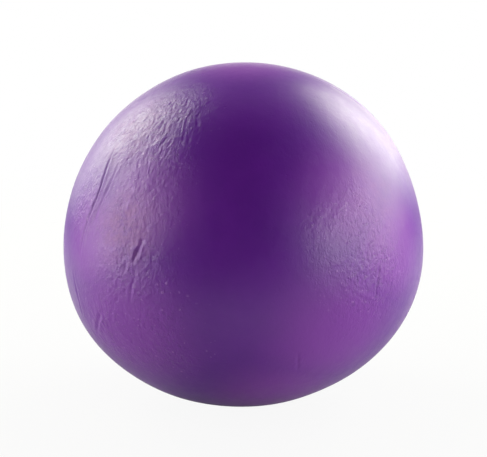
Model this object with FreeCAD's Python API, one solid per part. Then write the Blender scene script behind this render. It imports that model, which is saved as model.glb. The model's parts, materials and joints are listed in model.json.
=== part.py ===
import FreeCAD, Part

import math
import os

# Playground ball, 216 mm (8.5 in) nominal, softly inflated and at rest on a floor.
# All sizes are in millimetres. +Z is up, and the origin is the centre of the contact patch.

# Outer form: two half ellipsoids that share an equator, flattened where the ball meets the floor.
EQUATOR_RADIUS = 109.5
CROWN_HEIGHT = 113.5
BELLY_DEPTH = 95.8
PATCH_RADIUS = 30.0
PATCH_EDGE_RADIUS = 40.0

# Wall, from outside to inside. Each ply stands off the next by the glue film between them.
COVER_THICKNESS = 1.5
WINDING_THICKNESS = 0.5
BLADDER_THICKNESS = 0.8
FLANGE_THICKNESS = 1.2
GLUE_FILM = 0.1

# Where the valve goes through the wall: its heading about +Z from +X, and its lift above level.
VALVE_HEADING = math.radians(170.0)
VALVE_LIFT = math.radians(15.0)

# Valve pad, moulded on the cover.
PAD_RADIUS = 12.0
PAD_SLOPE = 0.8
PAD_HEIGHT = 0.6
PAD_ROOT = 1.3
PAD_ROUNDING = 0.4

# Valve housing, a flanged tube bonded inside the bladder. Depths are measured inward from the skin.
FLANGE_RADIUS = 16.0
NECK_RADIUS = 4.5
NECK_STANDS_PROUD = 0.3
TAIL_ROOT_RADIUS = 5.2
TAIL_END_RADIUS = 4.3
HOUSING_DEPTH = 12.0
WINDING_HOLE_RADIUS = 5.0

# Valve core, the insert that the inflating needle goes through.
CORE_RADIUS = 2.8
CORE_HEAD_RADIUS = 3.5
CORE_HEAD_HEIGHT = 1.2
CORE_DEPTH = 13.0
CORE_CLEARANCE = 0.05
HEAD_CROWN = 0.15

# Needle passage: a funnel mouth, a straight pilot bore, and a self-closing slit to the tip.
FUNNEL_RADIUS = 1.7
FUNNEL_DEPTH = 0.6
PILOT_RADIUS = 1.1
PILOT_LENGTH = 6.0
SLIT_WIDTH = 1.6
SLIT_GAP = 0.1

EQUATOR_HEIGHT = BELLY_DEPTH * math.sqrt(1.0 - (PATCH_RADIUS / EQUATOR_RADIUS) ** 2)

# Longer than any part of the valve, for tools that cut right through it, and how far a tool
# runs on into a space that is already cut.
OVERRUN = 20.0
OVERLAP = 0.5

# How near two sizes are before they count as the same.
LEVEL_TOLERANCE = 1e-4
RADIUS_TOLERANCE = 1e-3


def vec(x, y, z):
    return FreeCAD.Vector(x, y, z)


def ball_solid(inset):
    """The ball's whole form as one solid, drawn in by inset all round."""
    radius = EQUATOR_RADIUS - inset
    belly = BELLY_DEPTH - inset
    centre = vec(0, 0, EQUATOR_HEIGHT)
    side = vec(radius, 0, EQUATOR_HEIGHT)
    top = vec(0, 0, EQUATOR_HEIGHT + CROWN_HEIGHT - inset)
    foot = vec(0, 0, inset)
    upper = Part.Ellipse(top, side, centre)
    lower = Part.Ellipse(side, vec(0, 0, EQUATOR_HEIGHT - belly), centre)
    patch_angle = math.asin((EQUATOR_HEIGHT - inset) / belly)
    crown_arc = Part.ArcOfEllipse(upper, 0.0, math.pi / 2.0)
    belly_arc = Part.ArcOfEllipse(lower, 0.0, patch_angle)
    rim = belly_arc.EndPoint
    edges = [
        crown_arc.toShape(),
        belly_arc.toShape(),
        Part.LineSegment(rim, foot).toShape(),
        Part.LineSegment(foot, top).toShape(),
    ]
    solid = Part.Face(Part.Wire(edges)).revolve(vec(0, 0, 0), vec(0, 0, 1), 360.0)
    corner = [edge for edge in solid.Edges if is_patch_rim(edge, inset, rim.x)]
    return solid.makeFillet(PATCH_EDGE_RADIUS - inset, corner)


def is_patch_rim(edge, height, radius):
    """True for the circle where the flat patch meets the belly."""
    box = edge.BoundBox
    level = abs(box.ZMin - height) < LEVEL_TOLERANCE and abs(box.ZMax - height) < LEVEL_TOLERANCE
    return level and abs(box.XMax - radius) < RADIUS_TOLERANCE and abs(box.XMin + radius) < RADIUS_TOLERANCE


def wall(outer_inset, thickness):
    """One closed ply of the ball's wall."""
    return ball_solid(outer_inset).cut(ball_solid(outer_inset + thickness))


def valve_placement():
    """Takes the valve's own frame, +Z outward from the skin, to its place on the ball."""
    angle = math.atan(math.tan(VALVE_LIFT) * CROWN_HEIGHT / EQUATOR_RADIUS)
    reach = EQUATOR_RADIUS * math.cos(angle)
    point = vec(
        reach * math.cos(VALVE_HEADING),
        reach * math.sin(VALVE_HEADING),
        EQUATOR_HEIGHT + CROWN_HEIGHT * math.sin(angle),
    )
    outward = vec(
        math.cos(VALVE_LIFT) * math.cos(VALVE_HEADING),
        math.cos(VALVE_LIFT) * math.sin(VALVE_HEADING),
        math.sin(VALVE_LIFT),
    )
    return FreeCAD.Placement(point, FreeCAD.Rotation(vec(0, 0, 1), outward))


VALVE = valve_placement()


def on_ball(shape):
    """Moves a shape from the valve's own frame to its place on the ball."""
    placed = shape.copy()
    placed.transformShape(VALVE.toMatrix())
    return placed


def disc(radius, low, high):
    """A cylinder on the valve's axis, from one height to another."""
    return Part.makeCylinder(radius, high - low, vec(0, 0, low))


def frustum(low_radius, high_radius, low, high):
    """A cone's slice on the valve's axis, from one height to another."""
    return Part.makeCone(low_radius, high_radius, high - low, vec(0, 0, low))


def through_hole(radius):
    """A drill through the ball's wall at the valve."""
    return on_ball(disc(radius, -OVERRUN, OVERRUN))


def top_circles(shape):
    """The edges that lie in a shape's highest plane."""
    top = shape.BoundBox.ZMax
    return [edge for edge in shape.Edges if edge.BoundBox.ZMin > top - LEVEL_TOLERANCE]


def turned(points):
    """A solid turned on the valve's axis from (radius, height) corners."""
    corners = [vec(radius, 0, height) for radius, height in points]
    return Part.Face(Part.makePolygon(corners + corners[:1])).revolve(vec(0, 0, 0), vec(0, 0, 1), 360.0)


def make_cover():
    """Outer rubber skin, with the raised pad round the valve."""
    pad = frustum(PAD_RADIUS, PAD_RADIUS - PAD_SLOPE, -PAD_ROOT, PAD_HEIGHT)
    pad = pad.makeFillet(PAD_ROUNDING, top_circles(pad))
    skin = wall(0.0, COVER_THICKNESS).fuse(on_ball(pad))
    return skin.cut(through_hole(NECK_RADIUS + GLUE_FILM))


def make_nylon_winding(inset):
    """Layer of nylon thread wound all over the bladder."""
    return wall(inset, WINDING_THICKNESS).cut(through_hole(WINDING_HOLE_RADIUS))


def make_bladder(inset):
    """Airtight inner ball."""
    return wall(inset, BLADDER_THICKNESS).cut(through_hole(NECK_RADIUS + GLUE_FILM))


def make_valve_housing(inset):
    """Flanged rubber tube, bonded inside the bladder, with a seat for the core's head."""
    seat = NECK_STANDS_PROUD - CORE_HEAD_HEIGHT - CORE_CLEARANCE
    flange_root = inset + FLANGE_THICKNESS
    flange = wall(inset, FLANGE_THICKNESS).common(on_ball(disc(FLANGE_RADIUS, -OVERRUN, 0.0)))
    neck = disc(NECK_RADIUS, -flange_root, NECK_STANDS_PROUD)
    tail = frustum(TAIL_END_RADIUS, TAIL_ROOT_RADIUS, -HOUSING_DEPTH, FLANGE_THICKNESS / 2.0 - flange_root)
    bore = disc(CORE_RADIUS + CORE_CLEARANCE, -OVERRUN, OVERRUN)
    counterbore = disc(CORE_HEAD_RADIUS + CORE_CLEARANCE, seat, OVERRUN)
    tube = neck.fuse(tail)
    return flange.fuse(on_ball(tube)).cut(on_ball(bore.fuse(counterbore)))


def make_valve_core():
    """Headed rubber plug with a domed tip, a needle passage and a self-closing slit."""
    top = NECK_STANDS_PROUD
    shoulder = top - CORE_HEAD_HEIGHT
    dome_centre = CORE_RADIUS - CORE_DEPTH
    head = disc(CORE_HEAD_RADIUS, shoulder, top)
    head = head.makeChamfer(HEAD_CROWN, top_circles(head))
    dome = Part.makeSphere(CORE_RADIUS, vec(0, 0, dome_centre))
    plug = disc(CORE_RADIUS, dome_centre, shoulder).fuse(dome).fuse(head)
    pilot_end = top - FUNNEL_DEPTH - PILOT_LENGTH
    passage = turned([
        (0.0, pilot_end),
        (PILOT_RADIUS, pilot_end),
        (PILOT_RADIUS, top - FUNNEL_DEPTH),
        (FUNNEL_RADIUS, top),
        (FUNNEL_RADIUS, top + OVERLAP),
        (0.0, top + OVERLAP),
    ])
    corner = vec(-SLIT_WIDTH / 2.0, -SLIT_GAP / 2.0, -OVERRUN)
    slit = Part.makeBox(SLIT_WIDTH, SLIT_GAP, OVERRUN + pilot_end + OVERLAP, corner)
    return on_ball(plug.cut(passage).cut(slit).removeSplitter())


def main():
    winding_inset = COVER_THICKNESS + GLUE_FILM
    bladder_inset = winding_inset + WINDING_THICKNESS + GLUE_FILM
    flange_inset = bladder_inset + BLADDER_THICKNESS + GLUE_FILM
    nodes = {
        "cover": make_cover(),
        "nylon_winding": make_nylon_winding(winding_inset),
        "bladder": make_bladder(bladder_inset),
        "valve_housing": make_valve_housing(flange_inset),
        "valve_core": make_valve_core(),
    }
    os.makedirs("parts", exist_ok=True)
    for name, shape in nodes.items():
        shape.exportStep("parts/" + name + ".step")
        box = shape.BoundBox
        size = "%.1f x %.1f x %.1f mm" % (box.XLength, box.YLength, box.ZLength)
        print(name, size, "%.2f cm3" % (shape.Volume / 1000.0), "solids", len(shape.Solids), shape.isValid())


main()
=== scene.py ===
import json
import math

import bmesh
import bpy
import numpy as np
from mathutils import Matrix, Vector


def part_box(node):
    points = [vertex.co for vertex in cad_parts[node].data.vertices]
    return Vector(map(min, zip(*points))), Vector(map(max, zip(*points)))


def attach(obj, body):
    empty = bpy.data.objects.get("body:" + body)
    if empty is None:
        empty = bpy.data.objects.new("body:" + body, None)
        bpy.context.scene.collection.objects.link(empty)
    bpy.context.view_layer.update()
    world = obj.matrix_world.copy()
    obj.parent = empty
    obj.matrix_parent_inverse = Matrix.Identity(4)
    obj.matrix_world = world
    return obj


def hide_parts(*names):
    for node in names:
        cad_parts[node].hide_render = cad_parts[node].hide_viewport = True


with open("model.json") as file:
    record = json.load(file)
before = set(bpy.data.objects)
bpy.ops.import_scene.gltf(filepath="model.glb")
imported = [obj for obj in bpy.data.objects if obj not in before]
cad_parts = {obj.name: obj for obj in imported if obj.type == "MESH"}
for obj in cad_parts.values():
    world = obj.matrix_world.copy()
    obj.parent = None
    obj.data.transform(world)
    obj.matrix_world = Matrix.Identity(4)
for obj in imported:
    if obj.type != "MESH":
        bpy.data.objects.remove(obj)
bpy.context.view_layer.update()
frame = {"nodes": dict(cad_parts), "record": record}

# A soft purple playground ball at rest on a pale studio floor.
# Everything is in metres. Headings turn about +Z from -Y, which faces the camera, towards +X.
# Lifts are angles above the level of the ball's centre.

MM = 0.001
RANDOM = np.random.default_rng(8)

# ---------------------------------------------------------------- sizes, from the frame

CROWN_SHARE = 0.552
BELLY_SHARE = 0.857

cover_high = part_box("cover")[1]
EQUATOR = cover_high.x
HEIGHT = cover_high.z
CROWN = CROWN_SHARE * HEIGHT
BELLY = BELLY_SHARE * EQUATOR
CENTRE = np.array([0.0, 0.0, HEIGHT - CROWN])

COVER_WALL = 1.5 * MM
WINDING_WALL = 0.5 * MM
BLADDER_WALL = 0.8 * MM
WINDING_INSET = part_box("nylon_winding")[0].z
BLADDER_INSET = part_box("bladder")[0].z

# The valve's axis meets the level of the skin a little above the place that the frame gives for the bore.
needle_bore = next(m for m in frame["record"]["mounts"] if m["name"] == "needle_bore")
BORE_BELOW_SKIN = 3.3 * MM
AXIS = np.array(needle_bore["axis"])
VALVE = np.array(needle_bore["pos_m"]) + AXIS * BORE_BELOW_SKIN


def unit(vector):
    return vector / np.linalg.norm(vector)


# Axes of the skin's mesh, which is a cube's lattice blown up into a ball: one face is centred on the valve.
HUB = unit(VALVE - CENTRE)
ACROSS = unit(np.cross([0.0, 0.0, 1.0], HUB))
ALONG = np.cross(HUB, ACROSS)

# The valve's own cross axes, square to its axis.
SPAN = unit(np.cross(AXIS, ACROSS))
ACROSS_VALVE = np.cross(SPAN, AXIS)

# ---------------------------------------------------------------- form of the slack ball

# How softly the wall turns on to the floor, how sharply the belly gives way to the crown, how square the
# outline is, and how far the ball leans towards +X for each metre of height.
PATCH_SOFTNESS = 2.0 * MM
EQUATOR_BLEND = 4.0
SQUARENESS = 0.005
LEAN = 0.010
# Directions that fall less steeply than this are treated as if they met the floor far away.
LEAST_DROP = 0.05
# Where the skin is kept plain: angles from the valve, and heights above the floor.
VALVE_CALM = (math.radians(10.0), math.radians(26.0))
FLOOR_CALM = (1.5 * MM, 14.0 * MM)

# Broad hollows and swellings of the soft wall: heading, lift, spread in degrees, and depth in mm.
DENTS = (
    (46.0, -29.0, 20.0, 1.3),
    (-30.0, -52.0, 22.0, -0.5),
    (118.0, 22.0, 24.0, 1.1),
    (168.0, -18.0, 20.0, 1.4),
    (-150.0, 36.0, 22.0, 0.9),
    (75.0, 55.0, 26.0, -0.5),
    (-128.0, -26.0, 18.0, 1.0),
)
# Faint waves in all directions over the wall, and the range of their rates in radians per radius.
WAVE_COUNT = 14
WAVE_HEIGHT = 0.05 * MM
WAVE_RATES = (7.0, 15.0)


def toward(heading, lift):
    """Unit direction from a heading and a lift in degrees."""
    turn = math.radians(heading)
    rise = math.radians(lift)
    return np.array([math.sin(turn) * math.cos(rise), -math.cos(turn) * math.cos(rise), math.sin(rise)])


def smooth_step(value, low, high):
    share = np.clip((value - low) / (high - low), 0.0, 1.0)
    return share * share * (3.0 - 2.0 * share)


def form_radius(directions, inset):
    """Distance from the ball's centre to its skin, drawn in by inset, along unit directions."""
    level = np.hypot(directions[:, 0], directions[:, 1])
    rise = directions[:, 2]
    upper = 0.5 + 0.5 * np.tanh(EQUATOR_BLEND * rise) / math.tanh(EQUATOR_BLEND)
    depth = BELLY + (CROWN - BELLY) * upper - inset
    skin = 1.0 / np.sqrt((level / (EQUATOR - inset)) ** 2 + (rise / depth) ** 2)
    skin *= 1.0 + SQUARENESS * (2.0 * level * rise) ** 2
    floor = (CENTRE[2] - inset) / np.maximum(-rise, LEAST_DROP)
    mix = np.clip(0.5 + 0.5 * (floor - skin) / PATCH_SOFTNESS, 0.0, 1.0)
    return floor + (skin - floor) * mix - PATCH_SOFTNESS * mix * (1.0 - mix)


def plain_form(directions, inset=0.0):
    """Points of the ball's plain form along unit directions, drawn in by inset."""
    return CENTRE + directions * form_radius(directions, inset)[:, None]


def angle_from(directions, axis):
    return np.arccos(np.clip(directions @ axis, -1.0, 1.0))


WAVES = [(unit(RANDOM.normal(size=3)) * RANDOM.uniform(*WAVE_RATES), RANDOM.uniform(0.0, 2.0 * math.pi))
         for _ in range(WAVE_COUNT)]


def settled(directions, inset):
    """Points of the slack wall, drawn in by inset: the plain form, its dents and waves, and its lean."""
    points = plain_form(directions, inset)
    shift = np.zeros(len(directions))
    for heading, lift, spread, depth in DENTS:
        angle = angle_from(directions, toward(heading, lift))
        shift -= depth * MM * np.exp(-(angle / math.radians(spread)) ** 2)
    for wave, phase in WAVES:
        shift += WAVE_HEIGHT * np.sin(directions @ wave + phase)
    calm = smooth_step(angle_from(directions, HUB), *VALVE_CALM)
    shift *= calm * smooth_step(points[:, 2] - inset, *FLOOR_CALM)
    points += directions * shift[:, None]
    points[:, 0] += LEAN * (points[:, 2] - CENTRE[2]) * calm
    return points


# ---------------------------------------------------------------- creases and wrinkles in the skin

# Folds left by packing the ball flat. Each path runs downwards as (heading, lift) turns, with the
# groove's half width and depth in mm, and the height in mm of the lips on its left and right.
FOLDS = (
    (((-56.5, 39), (-54.5, 31), (-53.2, 24), (-55, 18), (-56, 13), (-57.5, 5)), 1.1, 0.66, 0.12, 0.50),
    (((-48.5, 34), (-49, 27), (-50.5, 21), (-52, 15)), 0.9, 0.42, 0.16, 0.26),
    (((-30, 14), (-31.7, 10), (-33.5, 6)), 1.2, 0.66, 0.12, 0.24),
    (((-35.3, 7), (-36, 3.5)), 1.1, 0.36, 0.08, 0.14),
    (((-32, 4.5), (-33, 0.5), (-34, -5)), 1.0, 0.26, 0.06, 0.12),
    (((-39, 8), (-38, 5)), 1.0, 0.24, 0.06, 0.10),
    (((-47, -10), (-52, -16), (-55.5, -20)), 1.2, 0.50, 0.12, 0.20),
    (((43.4, 6), (41.8, 0), (42, -6)), 0.75, 0.46, 0.14, 0.12),
    (((37.8, 9.5), (37.9, 6)), 0.85, 0.34, 0.08, 0.08),
    (((-63, -1), (-61, -9), (-62, -16)), 1.1, 0.28, 0.10, 0.12),
    (((17, -19), (18, -24), (19, -28)), 0.8, 0.20, 0.04, 0.06),
    (((112, 48), (116, 38), (117, 27), (115, 15), (117, 4)), 1.1, 0.75, 0.14, 0.26),
    (((124, 31), (122, 22), (123, 12)), 0.9, 0.40, 0.10, 0.18),
    (((172, 22), (166, 9), (168, -3), (163, -16)), 1.1, 0.70, 0.16, 0.22),
    (((-158, 58), (-150, 47), (-149, 36), (-152, 24)), 1.0, 0.60, 0.12, 0.22),
    (((-140, -4), (-135, -13), (-136, -24)), 1.2, 0.55, 0.14, 0.20),
    (((70, 68), (78, 58), (81, 47)), 1.0, 0.40, 0.08, 0.16),
)
# A fold is worked out to FOLD_REACH from its path. It fades at both ends and wavers along the way.
FOLD_REACH = 7.0 * MM
FOLD_TAPER = 0.7
FOLD_WANDER = 0.18
FOLD_WANDER_RATES = (12.0, 20.0)
FOLD_WANDER_PHASES = (0.0, 6.0)
PATH_ROUNDS = 3
CORNER_CUT = 0.25

# A groove's lips: how far out they lie and how wide they are, in its half widths.
LIP_OFFSET = 2.0
LIP_WIDTH = 1.2

# Fields of short fine wrinkles: heading, lift, spread in degrees, how many, slant of the wrinkles from
# the meridian in degrees, and their usual length, half width and depth in mm.
FIELDS = (
    (-35, 51, 10, 150, 0, 4.5, 0.62, 0.17),
    (-50, 40, 10, 80, -8, 4.5, 0.62, 0.10),
    (-31, 38, 9, 90, 4, 3.5, 0.7, 0.10),
    (-61, 22, 9, 40, -4, 5.0, 0.7, 0.08),
    (-37, 22, 11, 60, 2, 4.0, 0.7, 0.07),
    (-34, 3, 11, 110, 4, 4.0, 0.7, 0.12),
    (-47, -12, 12, 110, 18, 4.0, 0.7, 0.12),
    (-28, -14, 12, 60, 6, 4.0, 0.8, 0.07),
    (40, 3, 12, 130, 10, 3.5, 0.65, 0.12),
    (33, 14, 9, 40, 4, 3.5, 0.7, 0.08),
    (118, 24, 14, 70, -4, 7.0, 0.8, 0.10),
    (167, 2, 14, 70, 8, 7.0, 0.8, 0.10),
    (-148, 34, 13, 60, -6, 7.0, 0.8, 0.10),
    (-136, -14, 11, 50, 12, 6.0, 0.8, 0.10),
)
FIELD_SCATTER = 0.6
SLANT_SCATTER = 20.0
# Each wrinkle's length, width and depth, as random shares of its field's usual ones.
WRINKLE_LENGTHS = (0.5, 1.4)
WRINKLE_WIDTHS = (0.8, 1.3)
WRINKLE_DEPTHS = (0.3, 1.0)
WRINKLE_LIP = 0.3
WRINKLE_REACH = 4.0
WRINKLE_TAPER = 2.0

# Tiny nibs of rubber, scattered a little wider than the wrinkles of their field.
SPECKS_PER_FIELD = 7
SPECK_SCATTER = 1.4
SPECK_RADIUS = 0.6 * MM
SPECK_HEIGHT = 0.16 * MM
SPECK_REACH = 4.0

# How often the skin's mesh is halved: twice in a field's heart and along a fold, once out to a field's
# edge, and three times in the heart of a deep fold.
FIELD_EDGE = 1.4
FIELD_HEART = 0.95
FOLD_BAND = 3.5 * MM
FOLD_HEART = 2.0 * MM
DEEP_FOLD = 0.65
FINE = 2
FINEST = 3


def smooth_path(points):
    """Rounds a path's corners by cutting them, a few times over."""
    for _ in range(PATH_ROUNDS):
        after = (1.0 - CORNER_CUT) * points[:-1] + CORNER_CUT * points[1:]
        before = CORNER_CUT * points[:-1] + (1.0 - CORNER_CUT) * points[1:]
        middle = np.stack([after, before], axis=1).reshape(-1, 3)
        points = np.concatenate([points[:1], middle, points[-1:]])
    return points


def along_path(points, path):
    """Each point's signed distance from the path, right positive, and how far along it is, 0 to 1."""
    steps = path[1:] - path[:-1]
    lengths = np.linalg.norm(steps, axis=1)
    before = np.concatenate([[0.0], np.cumsum(lengths)[:-1]])
    nearest = np.full(len(points), np.inf)
    signed = np.zeros(len(points))
    share = np.zeros(len(points))
    for start, step, length, passed in zip(path[:-1], steps, lengths, before):
        offset = points - start
        run = np.clip(offset @ step / length ** 2, 0.0, 1.0)
        gap = offset - run[:, None] * step
        distance = np.linalg.norm(gap, axis=1)
        right = np.cross(unit(start - CENTRE), step / length)
        closer = distance < nearest
        nearest[closer] = distance[closer]
        signed[closer] = np.where(gap[closer] @ right < 0.0, -distance[closer], distance[closer])
        share[closer] = (passed + run[closer] * length) / lengths.sum()
    return signed, share


def groove(offset, half_width, depth, left_lip, right_lip):
    """Height across a crease: a valley with a low rounded lip on each side."""
    valley = -depth * np.exp(-(offset / half_width) ** 2)
    left = left_lip * np.exp(-((offset + LIP_OFFSET * half_width) / (LIP_WIDTH * half_width)) ** 2)
    right = right_lip * np.exp(-((offset - LIP_OFFSET * half_width) / (LIP_WIDTH * half_width)) ** 2)
    return valley + left + right


def fold_path(turns):
    """A fold's line over the skin, from its (heading, lift) turns."""
    return smooth_path(plain_form(np.array([toward(*turn) for turn in turns])))


def beside(points, path, reach):
    """Indices of the points in the ball-shaped space round a path."""
    middle = path.mean(axis=0)
    radius = np.linalg.norm(path - middle, axis=1).max() + reach
    return np.flatnonzero(np.linalg.norm(points - middle, axis=1) < radius)


def add_folds(points, height):
    """Presses the folds into the skin's height over its plain form, at the given points."""
    for turns, half_width, depth, left_lip, right_lip in FOLDS:
        path = fold_path(turns)
        local = beside(points, path, FOLD_REACH)
        offset, share = along_path(points[local], path)
        waver = np.sin(share * RANDOM.uniform(*FOLD_WANDER_RATES) + RANDOM.uniform(*FOLD_WANDER_PHASES))
        wander = 1.0 + FOLD_WANDER * waver
        taper = np.clip(np.sin(math.pi * share), 0.0, 1.0) ** FOLD_TAPER * wander
        profile = groove(offset, half_width * MM * wander, depth * MM, left_lip * MM, right_lip * MM)
        height[local] += profile * taper


def field_spot(heading, lift, spread):
    """A random direction in a field, most often near its middle."""
    away_lift, away_heading = RANDOM.normal(size=2) * spread * FIELD_SCATTER
    return toward(heading + away_heading / math.cos(math.radians(lift)), lift + away_lift)


def add_wrinkles(points, height):
    """Presses the short fine wrinkles of every field into the skin's height."""
    for heading, lift, spread, count, slant, length, half_width, depth in FIELDS:
        for _ in range(count):
            spot = field_spot(heading, lift, spread)
            east = unit(np.array([-spot[1], spot[0], 0.0]))
            north = np.cross(spot, east)
            tilt = math.radians(slant + RANDOM.normal() * SLANT_SCATTER)
            run = east * math.sin(tilt) + north * math.cos(tilt)
            half_length = 0.5 * length * MM * RANDOM.uniform(*WRINKLE_LENGTHS)
            width = half_width * MM * RANDOM.uniform(*WRINKLE_WIDTHS)
            deep = depth * MM * RANDOM.uniform(*WRINKLE_DEPTHS)
            lip = WRINKLE_LIP * deep
            start = plain_form(spot[None, :])[0]
            local = np.flatnonzero(np.abs(points - start).max(axis=1) < half_length + WRINKLE_REACH * width)
            offset = points[local] - start
            taper = np.exp(-(offset @ run / half_length) ** 2 * WRINKLE_TAPER)
            height[local] += groove(offset @ np.cross(spot, run), width, deep, lip, lip) * taper


def add_specks(points, height):
    """Tiny nibs of rubber that stand out of the skin."""
    for heading, lift, spread, *_ in FIELDS:
        for _ in range(SPECKS_PER_FIELD):
            spot = field_spot(heading, lift, SPECK_SCATTER * spread)
            start = plain_form(spot[None, :])[0]
            local = np.flatnonzero(np.abs(points - start).max(axis=1) < SPECK_REACH * SPECK_RADIUS)
            distance = np.linalg.norm(points[local] - start, axis=1)
            height[local] += SPECK_HEIGHT * np.exp(-(distance / SPECK_RADIUS) ** 2)


def fineness(directions):
    """How many times each part of the skin's mesh is halved, so that its wrinkles have points to stand on."""
    points = plain_form(directions)
    level = np.zeros(len(directions))
    for heading, lift, spread, *_ in FIELDS:
        angle = angle_from(directions, toward(heading, lift))
        level[angle < math.radians(FIELD_EDGE * spread)] += 1
        level[angle < math.radians(FIELD_HEART * spread)] += 1
    level = np.minimum(level, FINE)
    for turns, _, depth, *_ in FOLDS:
        path = fold_path(turns)
        local = beside(points, path, FOLD_REACH)
        distance = np.abs(along_path(points[local], path)[0])
        level[local[distance < FOLD_BAND]] = FINE
        if depth > DEEP_FOLD:
            level[local[distance < FOLD_HEART]] = FINEST
    return level


# ---------------------------------------------------------------- meshes

# Cells along each edge of the skin's lattice, and from the valve's axis to each side of its square hole.
SKIN_CELLS = 64
HOLE_CELLS = 8
HOLE_LOW = SKIN_CELLS // 2 - HOLE_CELLS
HOLE_HIGH = SKIN_CELLS // 2 + HOLE_CELLS
POLAR_RINGS = 72
CALM_RING = math.radians(8.0)
SLIDE_ROUNDS = 6

# Across the valve pad, from the foot of its hole outwards: radius, and height above the skin's level
# at the valve, in mm. Then the skirt round it: radius, and height above the skin under it.
PAD_PROFILE = (
    (4.6, -1.5), (4.6, -0.6), (4.6, 0.25), (4.68, 0.45), (4.85, 0.56), (5.1, 0.6), (6.2, 0.6),
    (6.9, 0.6), (7.15, 0.56), (7.35, 0.42), (7.6, 0.32), (7.9, 0.32), (8.15, 0.42), (8.35, 0.56),
    (8.6, 0.6), (9.6, 0.6), (10.5, 0.58), (10.9, 0.5), (11.2, 0.33), (11.4, 0.1), (11.5, -0.2),
)
SKIRT_PROFILE = ((11.7, 0.12), (12.1, 0.04), (12.7, 0.01), (13.8, 0.0), (15.4, 0.0))
# How square the two rings between the lattice's square hole and the round skirt are.
SQUARING = (0.35, 0.7)


def square_ring():
    """Lattice corners round the square that is left out for the valve, in order."""
    ring = [(u, HOLE_LOW) for u in range(HOLE_LOW, HOLE_HIGH)]
    ring += [(HOLE_HIGH, v) for v in range(HOLE_LOW, HOLE_HIGH)]
    ring += [(u, HOLE_HIGH) for u in range(HOLE_HIGH, HOLE_LOW, -1)]
    ring += [(HOLE_LOW, v) for v in range(HOLE_HIGH, HOLE_LOW, -1)]
    return ring


def left_out(axis, side, u, v):
    """Whether a cell of the lattice lies in the hole for the valve."""
    return axis == 2 and side > 0 and HOLE_LOW <= u < HOLE_HIGH and HOLE_LOW <= v < HOLE_HIGH


def skin_lattice():
    """A ball's mesh from a cube's lattice, finer where the skin is wrinkled, with a square hole for the
    valve. Gives unit directions, faces and the indices round the square."""
    index = {}
    quads = []
    for axis in range(3):
        for side in (0, SKIN_CELLS):
            for u in range(SKIN_CELLS):
                for v in range(SKIN_CELLS):
                    if left_out(axis, side, u, v):
                        continue
                    corners = [(u, v), (u + 1, v), (u + 1, v + 1), (u, v + 1)]
                    places = [tuple(np.insert(corner, axis, side)) for corner in corners]
                    quads.append([index.setdefault(place, len(index)) for place in places])
    lattice = np.tan((np.array(list(index)) * 2.0 / SKIN_CELLS - 1.0) * math.pi / 4.0)
    directions = lattice @ np.array([ACROSS, ALONG, HUB])
    directions /= np.linalg.norm(directions, axis=1)[:, None]
    ring = [index[(u, v, SKIN_CELLS)] for u, v in square_ring()]
    directions, faces = refined(directions, quads)
    return directions, faces, ring


def refined(directions, faces):
    """Halves the faces where fineness asks for it, level by level."""
    work = bmesh.new()
    corners = [work.verts.new(direction) for direction in directions]
    for face in faces:
        work.faces.new([corners[i] for i in face])
    for level in range(1, FINEST + 1):
        middles = np.array([unit(np.array(face.calc_center_median())) for face in work.faces])
        chosen = fineness(middles) >= level
        edges = {edge for face, wanted in zip(work.faces, chosen) if wanted for edge in face.edges}
        bmesh.ops.subdivide_edges(work, edges=list(edges), cuts=1, use_grid_fill=True)
        uneven = [face for face in work.faces if len(face.verts) > 4]
        bmesh.ops.triangulate(work, faces=uneven)
        for corner in work.verts:
            corner.co.normalize()
    work.verts.index_update()
    directions = np.array([corner.co for corner in work.verts])
    faces = [[corner.index for corner in face.verts] for face in work.faces]
    work.free()
    return directions, faces


def round_about(angles, first, second):
    """A unit circle's points at the given angles, over two cross axes."""
    return np.cos(angles)[:, None] * first + np.sin(angles)[:, None] * second


def over_valve(angles, radii, inset):
    """Skin points at distances from the valve's axis, found by sliding along that axis."""
    points = VALVE + radii[:, None] * round_about(angles, ACROSS_VALVE, SPAN)
    for _ in range(SLIDE_ROUNDS):
        arms = points - CENTRE
        reach = np.linalg.norm(arms, axis=1)
        short = form_radius(arms / reach[:, None], inset) - reach
        points += AXIS * short[:, None]
    return points


class Shell:
    """Gathers a mesh's points and faces."""

    def __init__(self):
        self.points = []
        self.faces = []

    def add(self, points):
        """Adds points and gives their indices."""
        start = len(self.points)
        self.points.extend(points)
        return list(range(start, len(self.points)))

    def bridge(self, inner, outer):
        """Faces between two rings of the same count."""
        for here in range(len(inner)):
            there = (here + 1) % len(inner)
            self.faces.append([inner[here], inner[there], outer[there], outer[here]])

    def build(self, name):
        """Makes the object, smooth shaded and with its faces turned outwards."""
        mesh = bpy.data.meshes.new(name)
        mesh.from_pydata([tuple(point) for point in self.points], [], self.faces)
        work = bmesh.new()
        work.from_mesh(mesh)
        bmesh.ops.recalc_face_normals(work, faces=work.faces)
        work.to_mesh(mesh)
        work.free()
        mesh.shade_smooth()
        piece = bpy.data.objects.new(name, mesh)
        bpy.context.scene.collection.objects.link(piece)
        return piece


def polar_side(shell, angles, hole_radius, inset, rings, relief=None):
    """One side of a ply, in rings from the valve's hole to the far pole. Gives the ring at the hole."""
    first = shell.add(over_valve(angles, np.full(len(angles), hole_radius), inset))
    last = first
    for tilt in np.linspace(CALM_RING, math.pi, rings, endpoint=False):
        directions = math.cos(tilt) * HUB + math.sin(tilt) * round_about(angles, ACROSS, ALONG)
        points = settled(directions, inset)
        if relief is not None:
            points += directions * relief(directions)[:, None]
        ring = shell.add(points)
        shell.bridge(last, ring)
        last = ring
    pole = shell.add(settled(-HUB[None, :], inset))[0]
    for here in range(len(last)):
        shell.faces.append([last[here], last[(here + 1) % len(last)], pole])
    return first


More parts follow.
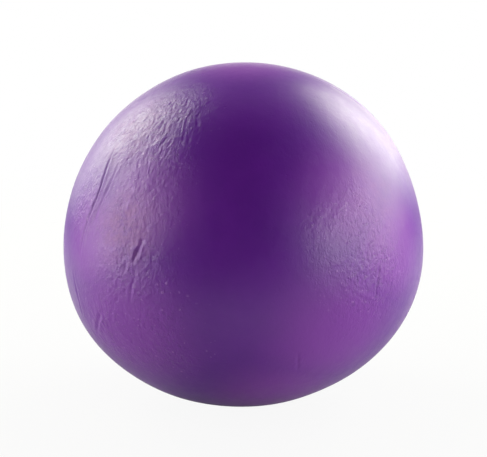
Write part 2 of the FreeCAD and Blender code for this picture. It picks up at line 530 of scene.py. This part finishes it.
def skin_relief(directions, points):
    """How far the skin's creases, wrinkles and nibs stand out, calmed at the valve and at the floor."""
    base = plain_form(directions)
    height = np.zeros(len(points))
    add_folds(base, height)
    add_wrinkles(base, height)
    add_specks(base, height)
    calm = smooth_step(points[:, 2], *FLOOR_CALM) * smooth_step(angle_from(directions, HUB), *VALVE_CALM)
    return height * calm


def add_valve_pad(shell, square, corners):
    """Rings from the skin's square hole to the foot of the valve's. Gives the last one and its angles."""
    flat = np.stack([(corners - VALVE) @ ACROSS_VALVE, (corners - VALVE) @ SPAN], axis=1)
    angles = np.arctan2(flat[:, 1], flat[:, 0])
    reach = np.linalg.norm(flat, axis=1)
    skirt_edge = SKIRT_PROFILE[-1][0] * MM
    rings = []
    for share in reversed(SQUARING):
        rings.append(over_valve(angles, skirt_edge * (1.0 - share) + reach * share, 0.0))
    for radius, lift in reversed(SKIRT_PROFILE):
        rings.append(over_valve(angles, np.full(len(angles), radius * MM), 0.0) + AXIS * lift * MM)
    spokes = round_about(angles, ACROSS_VALVE, SPAN)
    for radius, lift in reversed(PAD_PROFILE):
        rings.append(VALVE + spokes * radius * MM + AXIS * lift * MM)
    last = square
    for points in rings:
        ring = shell.add(points)
        shell.bridge(last, ring)
        last = ring
    return last, angles


def make_cover():
    """Outer skin with its creases, wrinkles and valve pad, and its smooth inner side."""
    directions, faces, square = skin_lattice()
    points = settled(directions, 0.0)
    points += directions * skin_relief(directions, points)[:, None]
    points[:, 2] = np.maximum(points[:, 2], 0.0)
    shell = Shell()
    shell.add(points)
    shell.faces.extend(faces)
    last, angles = add_valve_pad(shell, square, points[square])
    inner = polar_side(shell, angles, PAD_PROFILE[0][0] * MM, COVER_WALL, POLAR_RINGS)
    shell.bridge(last, inner)
    return shell.build("moulded_rubber_cover")


# The plies under the cover. Nylon thread is wound over a thin film of rubber cement, round the bladder.
# The valve's hole through them is a little wider than the housing's neck.
PLY_ANGLES = np.linspace(0.0, 2.0 * math.pi, 96, endpoint=False)
PLY_RINGS = 56
NECK_HOLE = 4.6 * MM
THREAD_LOOPS = 44
THREAD_STEPS = 132
THREAD_SIDES = 5
THREAD_RADIUS = 0.14 * MM
FILM_DEPTH = 0.24 * MM
VALVE_KEEP_OUT = math.sin(math.radians(7.0))
BLADDER_RIBS = 24
RIB_HEIGHT = 0.14 * MM
RIB_SHARPNESS = 3
RIB_ENDS = (0.97, 0.9)


def make_thread_winding():
    """The nylon winding: a film of cement and, bedded in it, loops of thread that pass clear of the valve."""
    shell = Shell()
    outer = polar_side(shell, PLY_ANGLES, NECK_HOLE, WINDING_INSET + FILM_DEPTH, PLY_RINGS)
    inner = polar_side(shell, PLY_ANGLES, NECK_HOLE, WINDING_INSET + WINDING_WALL, PLY_RINGS)
    shell.bridge(outer, inner)
    turns = np.linspace(0.0, 2.0 * math.pi, THREAD_STEPS, endpoint=False)
    corners = np.linspace(0.0, 2.0 * math.pi, THREAD_SIDES, endpoint=False)
    loops = 0
    while loops < THREAD_LOOPS:
        axis = unit(RANDOM.normal(size=3))
        if abs(axis @ HUB) < VALVE_KEEP_OUT:
            continue
        loops += 1
        start = unit(np.cross(axis, HUB))
        directions = round_about(turns, start, np.cross(axis, start))
        middles = settled(directions, WINDING_INSET + THREAD_RADIUS)
        rings = [shell.add(middle + round_about(corners, axis, direction) * THREAD_RADIUS)
                 for middle, direction in zip(middles, directions)]
        for here, there in zip(rings, rings[1:] + rings[:1]):
            shell.bridge(here, there)
    return shell.build("nylon_thread_winding")


def air_ribs(directions):
    """Height of the low ribs that run over the bladder from the valve to its far side and let air out."""
    turn = np.arctan2(directions @ ALONG, directions @ ACROSS)
    crest = np.clip(np.cos(BLADDER_RIBS * turn), 0.0, 1.0) ** RIB_SHARPNESS
    return RIB_HEIGHT * crest * smooth_step(np.abs(directions @ HUB), *RIB_ENDS)


def make_bladder():
    """The black bladder, with ribs on its outer side and a hole where the valve housing is bonded in."""
    shell = Shell()
    ribs = 2 * PLY_RINGS
    outer = polar_side(shell, PLY_ANGLES, NECK_HOLE, BLADDER_INSET + RIB_HEIGHT, ribs, air_ribs)
    inner = polar_side(shell, PLY_ANGLES, NECK_HOLE, BLADDER_INSET + BLADDER_WALL, PLY_RINGS)
    shell.bridge(outer, inner)
    return shell.build("ribbed_bladder")


# ---------------------------------------------------------------- materials


def new_material(name):
    """A node material that holds only its shader. Gives the material, its node tree and the shader."""
    material = bpy.data.materials.new(name)
    material.use_nodes = True
    tree = material.node_tree
    tree.nodes.clear()
    output = tree.nodes.new("ShaderNodeOutputMaterial")
    shader = tree.nodes.new("ShaderNodeBsdfPrincipled")
    tree.links.new(shader.outputs["BSDF"], output.inputs["Surface"])
    return material, tree, shader


def node(tree, kind, settings=None, **inputs):
    """Adds a node. Settings are its own values; inputs are sockets by name, a value or another's output."""
    made = tree.nodes.new("ShaderNode" + kind)
    for key, value in (settings or {}).items():
        setattr(made, key, value)
    for key, value in inputs.items():
        socket = made.inputs[key.replace("_", " ")]
        if isinstance(value, bpy.types.NodeSocket):
            tree.links.new(value, socket)
        else:
            socket.default_value = value
    return made


def ramp(tree, factor, stops):
    """A colour ramp from (place, colour) stops."""
    made = node(tree, "ValToRGB", Fac=factor)
    elements = made.color_ramp.elements
    while len(elements) < len(stops):
        elements.new(0.5)
    for element, (place, colour) in zip(elements, stops):
        element.position = place
        element.color = (*colour, 1.0)
    return made.outputs["Color"]


def grey(value):
    return (value, value, value)


def noise(tree, place, scale, detail, roughness=0.5):
    """A noise pattern's value."""
    made = node(tree, "TexNoise", Vector=place, Scale=scale, Detail=detail, Roughness=roughness)
    return made.outputs["Fac"]


def mapped(tree, value, source, target=(0.0, 1.0), shape="LINEAR"):
    """A value carried from one range to another, and held at the ends."""
    return node(tree, "MapRange", {"interpolation_type": shape}, Value=value, From_Min=source[0],
                From_Max=source[1], To_Min=target[0], To_Max=target[1]).outputs["Result"]


def near(tree, place, heading, lift, inner, outer):
    """Factor that falls from 1 to 0 between two distances in mm from a spot on the skin."""
    away = node(tree, "VectorMath", {"operation": "DISTANCE"}, Vector=place)
    away.inputs[1].default_value = plain_form(toward(heading, lift)[None, :])[0]
    return mapped(tree, away.outputs["Value"], (inner * MM, outer * MM), (1.0, 0.0), "SMOOTHSTEP")


def maths(tree, operation, first, second):
    """A sum, product or other function of two values or outputs."""
    made = node(tree, "Math", {"operation": operation})
    for socket, value in zip(made.inputs, (first, second)):
        if isinstance(value, bpy.types.NodeSocket):
            tree.links.new(value, socket)
        else:
            socket.default_value = value
    return made.outputs["Value"]


def blended(tree, factor, under, over):
    """Two colours mixed by a factor."""
    made = node(tree, "Mix", {"data_type": "RGBA"})
    tree.links.new(factor, made.inputs["Factor"])
    for socket, value in ((made.inputs[6], under), (made.inputs[7], over)):
        if isinstance(value, bpy.types.NodeSocket):
            tree.links.new(value, socket)
        else:
            socket.default_value = (*value, 1.0)
    return made.outputs[2]


def on_meridians(tree, place, drawn_out):
    """Texture coordinates whose features run along the ball's meridians, drawn out by a factor."""
    centred = node(tree, "VectorMath", {"operation": "SUBTRACT"}, Vector=place)
    centred.inputs[1].default_value = CENTRE
    level = node(tree, "VectorMath", {"operation": "MULTIPLY"}, Vector=centred.outputs["Vector"])
    level.inputs[1].default_value = (1.0, 1.0, 0.0)
    turn = node(tree, "VectorMath", {"operation": "NORMALIZE"}, Vector=level.outputs["Vector"])
    rise = node(tree, "VectorMath", {"operation": "MULTIPLY"}, Vector=centred.outputs["Vector"])
    rise.inputs[1].default_value = (0.0, 0.0, 1.0 / (EQUATOR * drawn_out))
    both = node(tree, "VectorMath", {"operation": "ADD"}, Vector=turn.outputs["Vector"])
    tree.links.new(rise.outputs["Vector"], both.inputs[1])
    return both.outputs["Vector"]


def largest(tree, factors):
    """The largest of several factors."""
    most = factors[0]
    for factor in factors[1:]:
        most = maths(tree, "MAXIMUM", most, factor)
    return most


def weighed(tree, *terms):
    """The sum of several outputs, each times its weight."""
    total, *others = [maths(tree, "MULTIPLY", value, weight) for value, weight in terms]
    for other in others:
        total = maths(tree, "ADD", total, other)
    return total


def emboss(tree, shader, height, strength, depth):
    """Bumps a shader's surface by a height pattern."""
    bump = node(tree, "Bump", Strength=strength, Distance=depth, Height=height)
    tree.links.new(bump.outputs["Normal"], shader.inputs["Normal"])


# Patches where the skin has bloomed: heading and lift in degrees, the mm over which each fades out, and
# how strong it is. Then broad paler patches of painted light on the flanks front and back, the top and the
# lower front.
BLOOMS = (
    (-37, 16, 2.0, 30.0, 0.46),
    (-50, 46, 4.0, 40.0, 0.26),
    (46, 22, 4.0, 40.0, 0.16),
    (150, 25, 5.0, 44.0, 0.18),
    (-140, 0, 5.0, 40.0, 0.18),
)
PAINTED_LIGHT_PATCHES = (
    (-38, -12, 12.0, 60.0),
    (30, -14, 12.0, 60.0),
    (-32, 24, 6.0, 44.0),
    (34, 26, 6.0, 44.0),
    (-50, 10, 10.0, 44.0),
    (50, 8, 10.0, 44.0),
    (0, 84, 6.0, 40.0),
    (15, -42, 10.0, 50.0),
    (125, -6, 12.0, 70.0),
    (-130, -8, 12.0, 70.0),
)
PURPLE = ((0.108, 0.0062, 0.280), (0.132, 0.0090, 0.320))
# The paler purple of the painted light patches, and how far it is mixed in.
PAINTED_LIGHT_PURPLE = (0.232, 0.038, 0.405)
PAINTED_LIGHT_STRENGTH = 0.84
BLOOM_COLOUR = (0.46, 0.22, 0.38)
FLECK_COLOUR = (0.44, 0.20, 0.60)
FLECK_STRENGTH = 0.34
CRAZE_COLOUR = (0.060, 0.005, 0.150)
CRAZE_STRENGTH = 0.40
GLOSS = (0.34, 0.45)
BLOOM_DULLING = 0.3
SPECULAR = 0.58
SHEEN = 0.12
SHEEN_ROUGHNESS = 0.3

# Noise patterns in the rubber: scale, detail and roughness. Hatch is drawn out along the meridians.
CLOUDS = (30.0, 6.0, 0.65)
MOTTLE = (150.0, 7.0, 0.72)
CRAZE = (200.0, 3.0, 0.6)
PEBBLES = (400.0, 4.0, 0.65)
HATCH = (105.0, 3.0, 0.55)
SWELLS = (28.0, 2.0)
DIMPLES = (210.0, 2.0)
HATCH_DRAWN_OUT = 2.2
CLOUDS_SPAN = (0.34, 0.66)
MOTTLE_SPAN = (0.34, 0.66)
GLOSS_SPAN = (0.3, 0.7)
WEAR_SPAN = (0.36, 0.60)
LEAST_WEAR = 0.25
# A field's wear fades out between these shares of its spread. A degree is about 1.9 mm of skin.
WEAR_EDGE = (0.4, 2.1)
MM_PER_DEGREE = 1.9
CRAZE_WIDTH = 0.045
CRAZE_BREAKS = (0.46, 0.56)

# Flecks and pits sit in cells of uneven outline. Each cell draws a number from 0 to 1, which says whether
# it holds a fleck, a pit or nothing, and another for the size.
CELL_SCALE = 430.0
CELL_WANDER_SCALE = 700.0
CELL_WANDER = 1.6 * MM
SPOT_SIZES = (0.14, 0.42)
FLECKS_ABOVE = 0.82
PITS_BELOW = 0.40
FLECK_GAIN = 2.0

# How strongly each pattern shows in the relief of worn skin, and how much of that is left elsewhere.
HATCH_RELIEF = 0.9
PEBBLE_RELIEF = 0.9
DIMPLE_RELIEF = 1.6
PIT_RELIEF = -0.8
CRAZE_RELIEF = -0.30
PLAIN_RELIEF = 0.16
FLECK_RELIEF = 0.4
SWELL_RELIEF = 0.7
COVER_RELIEF = (1.0, 0.3 * MM)


def make_wear(tree, place, clouds):
    """How worn the skin is: most in the wrinkle fields, and unevenly."""
    fields = []
    for heading, lift, spread, *_ in FIELDS:
        inner, outer = (share * spread * MM_PER_DEGREE for share in WEAR_EDGE)
        fields.append(near(tree, place, heading, lift, inner, outer))
    return maths(tree, "MULTIPLY", largest(tree, fields), mapped(tree, clouds, WEAR_SPAN, (LEAST_WEAR, 1.0)))


def make_spots(tree, place, worn):
    """Heights of the small raised flecks where the skin is worn, and of the tiny pits."""
    wander = node(tree, "TexNoise", Vector=place, Scale=CELL_WANDER_SCALE, Detail=2.0).outputs["Color"]
    shifted = node(tree, "VectorMath", {"operation": "MULTIPLY_ADD"}, Vector=wander)
    shifted.inputs[1].default_value = grey(CELL_WANDER)
    tree.links.new(place, shifted.inputs[2])
    cells = node(tree, "TexVoronoi", Vector=shifted.outputs["Vector"], Scale=CELL_SCALE)
    chances = node(tree, "SeparateColor", Color=cells.outputs["Color"])
    size = mapped(tree, chances.outputs["Green"], (0.0, 1.0), SPOT_SIZES)
    spot = maths(tree, "SUBTRACT", 1.0, maths(tree, "DIVIDE", cells.outputs["Distance"], size))
    spot = maths(tree, "MAXIMUM", spot, 0.0)
    fleck = maths(tree, "MULTIPLY", spot, maths(tree, "GREATER_THAN", chances.outputs["Red"], FLECKS_ABOVE))
    pit = maths(tree, "MULTIPLY", spot, maths(tree, "LESS_THAN", chances.outputs["Red"], PITS_BELOW))
    return maths(tree, "MULTIPLY", fleck, worn), pit


def make_crazing(tree, place, pebbles):
    """Fine broken lines, where a noise passes its middle value."""
    craze = maths(tree, "ABSOLUTE", maths(tree, "SUBTRACT", noise(tree, place, *CRAZE), 0.5), 0.0)
    craze = mapped(tree, craze, (0.0, CRAZE_WIDTH), (1.0, 0.0))
    return maths(tree, "MULTIPLY", craze, mapped(tree, pebbles, CRAZE_BREAKS))


def make_cover_rubber():
    """Satin purple rubber: mottled and bloomed in patches, paler in broad patches of painted light on its
    flanks, top and lower front, and crazed and flecked where it is worn.
    """
    material, tree, shader = new_material("purple_rubber")
    place = node(tree, "TexCoord").outputs["Object"]
    clouds = noise(tree, place, *CLOUDS)
    mottle = noise(tree, place, *MOTTLE)
    pebbles = noise(tree, place, *PEBBLES)
    worn = make_wear(tree, place, clouds)
    fleck, pit = make_spots(tree, place, worn)
    craze = make_crazing(tree, place, pebbles)

    purple = ramp(tree, clouds, tuple(zip(CLOUDS_SPAN, PURPLE)))
    # Paler purple over the flanks, top and lower front: painted light where the studio light falls.
    painted_light = largest(tree, [near(tree, place, *patch) for patch in PAINTED_LIGHT_PATCHES])
    colour = blended(tree, maths(tree, "MULTIPLY", painted_light, PAINTED_LIGHT_STRENGTH), purple, PAINTED_LIGHT_PURPLE)
    bloom = [maths(tree, "MULTIPLY", near(tree, place, *patch), strength) for *patch, strength in BLOOMS]
    bloom = maths(tree, "MULTIPLY", largest(tree, bloom), mapped(tree, mottle, MOTTLE_SPAN))
    colour = blended(tree, bloom, colour, BLOOM_COLOUR)
    fleck_tint = maths(tree, "MINIMUM", maths(tree, "MULTIPLY", fleck, FLECK_GAIN), FLECK_STRENGTH)
    colour = blended(tree, fleck_tint, colour, FLECK_COLOUR)
    craze_tint = maths(tree, "MULTIPLY", maths(tree, "MULTIPLY", craze, worn), CRAZE_STRENGTH)
    colour = blended(tree, craze_tint, colour, CRAZE_COLOUR)
    tree.links.new(colour, shader.inputs["Base Color"])

    gloss = mapped(tree, mottle, GLOSS_SPAN, GLOSS)
    dull = maths(tree, "ADD", gloss, maths(tree, "MULTIPLY", bloom, BLOOM_DULLING))
    tree.links.new(dull, shader.inputs["Roughness"])
    shader.inputs["Specular IOR Level"].default_value = SPECULAR
    shader.inputs["Sheen Weight"].default_value = SHEEN
    shader.inputs["Sheen Roughness"].default_value = SHEEN_ROUGHNESS

    hatch = noise(tree, on_meridians(tree, place, HATCH_DRAWN_OUT), *HATCH)
    dimples = noise(tree, place, *DIMPLES)
    rough = weighed(tree, (hatch, HATCH_RELIEF), (pebbles, PEBBLE_RELIEF), (dimples, DIMPLE_RELIEF),
                    (pit, PIT_RELIEF), (craze, CRAZE_RELIEF))
    rough = maths(tree, "MULTIPLY", rough, maths(tree, "ADD", worn, PLAIN_RELIEF))
    relief = weighed(tree, (rough, 1.0), (fleck, FLECK_RELIEF), (noise(tree, place, *SWELLS), SWELL_RELIEF))
    emboss(tree, shader, relief, *COVER_RELIEF)
    return material


# Cement browns the thread between its bare and its pale dried patches.
CEMENT = (60.0, 5.0, 0.6)
CEMENT_COLOURS = ((0.3, (0.62, 0.56, 0.44)), (0.55, (0.50, 0.40, 0.26)), (0.75, (0.66, 0.62, 0.53)))
CEMENT_SHINE = ((0.35, grey(0.72)), (0.7, grey(0.48)))
FIBRES = (2600.0, 2.0)
FIBRE_RELIEF = (0.4, 0.05 * MM)


def make_winding_nylon():
    """Undyed nylon thread, browned unevenly by the dried rubber cement that it lies in."""
    material, tree, shader = new_material("cemented_nylon_thread")
    place = node(tree, "TexCoord").outputs["Object"]
    cement = noise(tree, place, *CEMENT)
    tree.links.new(ramp(tree, cement, CEMENT_COLOURS), shader.inputs["Base Color"])
    tree.links.new(ramp(tree, cement, CEMENT_SHINE), shader.inputs["Roughness"])
    emboss(tree, shader, noise(tree, place, *FIBRES), *FIBRE_RELIEF)
    return material


# Moulded rubbers: dark tone, dusted tone, roughness, and scale of the dust.
BLADDER_BUTYL = (grey(0.022), (0.10, 0.098, 0.092), 0.5, 90.0)
HOUSING_RUBBER = (grey(0.035), grey(0.075), 0.42, 400.0)
CORE_RUBBER = (grey(0.06), grey(0.11), 0.38, 700.0)
DUST_DETAIL = (6.0, 0.65)
DUST_SPAN = (0.4, 0.7)
DULLING_SPAN = (0.35, 0.75)
DUST_DULLING = 0.2
GRAIN = (1800.0, 3.0)
GRAIN_RELIEF = (0.3, 0.06 * MM)


def make_dusted_rubber(name, dark, dusted, roughness, dust_scale):
    """Moulded rubber with pale release dust caught in its fine grain."""
    material, tree, shader = new_material(name)
    place = node(tree, "TexCoord").outputs["Object"]
    dust = noise(tree, place, dust_scale, *DUST_DETAIL)
    colour = ramp(tree, dust, tuple(zip(DUST_SPAN, (dark, dusted))))
    tree.links.new(colour, shader.inputs["Base Color"])
    dull = ramp(tree, dust, tuple(zip(DULLING_SPAN, (grey(roughness), grey(roughness + DUST_DULLING)))))
    tree.links.new(dull, shader.inputs["Roughness"])
    emboss(tree, shader, noise(tree, place, *GRAIN), *GRAIN_RELIEF)
    return material


# ---------------------------------------------------------------- studio

CAMERA_LENS = 85.0
CAMERA_LIFT = 12.0
CAMERA_DISTANCE = 0.7078
AIM_RISE = 12.2 * MM
AIM_RIGHT = 0.2 * MM

# Soft panels round the ball, most of them behind it: heading and lift of the middle in degrees, width and
# height in metres, and power in watts.
LIGHT_DISTANCE = 1.2
PANELS = {
    "rear_right_panel": (125.0, 24.0, 0.87, 0.64, 10.2),
    "rear_right_high_panel": (138.0, 40.0, 0.54, 0.42, 3.8),
    "rear_right_mid_panel": (145.0, 14.0, 0.64, 0.64, 2.4),
    "right_high_panel": (112.0, 39.0, 0.50, 0.56, 2.0),
    "side_right_panel": (86.0, 11.0, 0.87, 0.70, 8.4),
    "front_right_panel": (54.0, 8.0, 0.60, 0.52, 4.2),
    "rear_left_panel": (-135.0, 20.0, 0.42, 0.87, 4.4),
    "rear_left_high_panel": (-134.0, 40.0, 0.54, 0.42, 4.2),
    "left_high_panel": (-115.0, 30.0, 0.87, 0.42, 6.0),
    "side_left_panel": (-85.0, 10.0, 0.87, 0.87, 10.4),
    "front_left_panel": (-60.0, 18.0, 0.42, 0.64, 1.1),
}
# A card behind the ball that only its gloss picks up, along its outline.
RIM_CARD = (180.0, 4.0, 1.10, 0.60, 3.6)
# A panel over the back that lights the rubber without showing in its gloss.
TOP_WASH = (180.0, 62.0, 0.90, 0.60, 3.4)
PANEL_TINT = (1.0, 0.98, 0.94)
# The panels behind the ball are a little warmer than the rest.
REAR_TINT = (1.0, 1.03, 0.85)
REAR_HEADING = 100.0


def make_camera():
    """A camera in front of the ball, a little above its middle."""
    camera = bpy.data.objects.new("camera", bpy.data.cameras.new("camera"))
    bpy.context.scene.collection.objects.link(camera)
    camera.data.lens = CAMERA_LENS
    back = Vector(toward(0.0, CAMERA_LIFT))
    upward = Vector(toward(180.0, 90.0 - CAMERA_LIFT))
    aim = Vector(CENTRE) + upward * AIM_RISE + Vector((AIM_RIGHT, 0.0, 0.0))
    camera.location = aim + back * CAMERA_DISTANCE
    camera.rotation_euler = (-back).to_track_quat("-Z", "Y").to_euler()
    bpy.context.scene.camera = camera


def make_panel(name, heading, lift, width, height, power):
    """A soft rectangular light that faces the ball's centre."""
    light = bpy.data.lights.new(name, "AREA")
    light.shape = "RECTANGLE"
    light.size = width
    light.size_y = height
    light.energy = power
    light.color = REAR_TINT if abs(heading) > REAR_HEADING else PANEL_TINT
    panel = bpy.data.objects.new(name, light)
    away = Vector(toward(heading, lift))
    panel.location = Vector(CENTRE) + away * LIGHT_DISTANCE
    panel.rotation_euler = (-away).to_track_quat("-Z", "Y").to_euler()
    panel.visible_camera = False
    bpy.context.scene.collection.objects.link(panel)
    return panel


def make_lights():
    for name, settings in PANELS.items():
        make_panel(name, *settings)
    make_panel("rim_card", *RIM_CARD).visible_diffuse = False
    make_panel("top_wash", *TOP_WASH).visible_glossy = False


# The floor lights the ball with its own tone, but most of what the camera sees of it is plain white. It
# fades out between two distances from its middle.
FLOOR_RADIUS = 1.1
FLOOR_SEGMENTS = 96
FLOOR_FADE = (0.45, 1.0)
FLOOR_TONE = 0.5
FLOOR_GLARE = 0.92
FLOOR_ROUGHNESS = 0.8


def make_floor():
    """A pale round floor that fades into the white background."""
    work = bmesh.new()
    bmesh.ops.create_circle(work, cap_ends=True, segments=FLOOR_SEGMENTS, radius=FLOOR_RADIUS)
    mesh = bpy.data.meshes.new("floor")
    work.to_mesh(mesh)
    work.free()
    floor = bpy.data.objects.new("floor", mesh)
    bpy.context.scene.collection.objects.link(floor)
    material, tree, shader = new_material("studio_floor")
    place = node(tree, "TexCoord").outputs["Object"]
    distance = node(tree, "VectorMath", {"operation": "LENGTH"}, Vector=place).outputs["Value"]
    fade = mapped(tree, distance, FLOOR_FADE, shape="SMOOTHSTEP")
    shader.inputs["Base Color"].default_value = (*grey(FLOOR_TONE), 1.0)
    shader.inputs["Roughness"].default_value = FLOOR_ROUGHNESS
    shader.inputs["Specular IOR Level"].default_value = 0.0
    seen = node(tree, "LightPath").outputs["Is Camera Ray"]
    white = node(tree, "Emission", Strength=1.0).outputs["Emission"]
    paled = node(tree, "MixShader", Fac=maths(tree, "MULTIPLY", seen, FLOOR_GLARE))
    tree.links.new(shader.outputs["BSDF"], paled.inputs[1])
    tree.links.new(white, paled.inputs[2])
    clear = node(tree, "BsdfTransparent").outputs["BSDF"]
    mix = node(tree, "MixShader", Fac=fade)
    tree.links.new(paled.outputs["Shader"], mix.inputs[1])
    tree.links.new(clear, mix.inputs[2])
    tree.links.new(mix.outputs["Shader"], tree.nodes["Material Output"].inputs["Surface"])
    floor.data.materials.append(material)


WORLD_LIGHT = 0.03


def make_world():
    """White to the camera, and nearly dark to the ball."""
    world = bpy.data.worlds.new("studio")
    bpy.context.scene.world = world
    world.use_nodes = True
    tree = world.node_tree
    tree.nodes.clear()
    seen = node(tree, "LightPath").outputs["Is Camera Ray"]
    dim = node(tree, "Background", Color=(1.0, 1.0, 1.0, 1.0), Strength=WORLD_LIGHT)
    white = node(tree, "Background", Color=(1.0, 1.0, 1.0, 1.0), Strength=1.0)
    mix = node(tree, "MixShader", Fac=seen)
    tree.links.new(dim.outputs["Background"], mix.inputs[1])
    tree.links.new(white.outputs["Background"], mix.inputs[2])
    output = node(tree, "OutputWorld")
    tree.links.new(mix.outputs["Shader"], output.inputs["Surface"])


def place_ply(piece, node_name, material):
    """Stands a finished ply in for its plain solid."""
    piece.data.materials.append(material)
    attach(piece, "ball")
    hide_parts(node_name)


def main():
    bpy.context.scene.view_settings.view_transform = "Standard"
    bladder_rubber = make_dusted_rubber("dusted_butyl", *BLADDER_BUTYL)
    place_ply(make_cover(), "cover", make_cover_rubber())
    place_ply(make_thread_winding(), "nylon_winding", make_winding_nylon())
    place_ply(make_bladder(), "bladder", bladder_rubber)
    valve_rubber = make_dusted_rubber("valve_housing_rubber", *HOUSING_RUBBER)
    core_rubber = make_dusted_rubber("valve_core_rubber", *CORE_RUBBER)
    frame["nodes"]["valve_housing"].material_slots[0].material = valve_rubber
    frame["nodes"]["valve_core"].material_slots[0].material = core_rubber
    make_camera()
    make_lights()
    make_floor()
    make_world()


main()
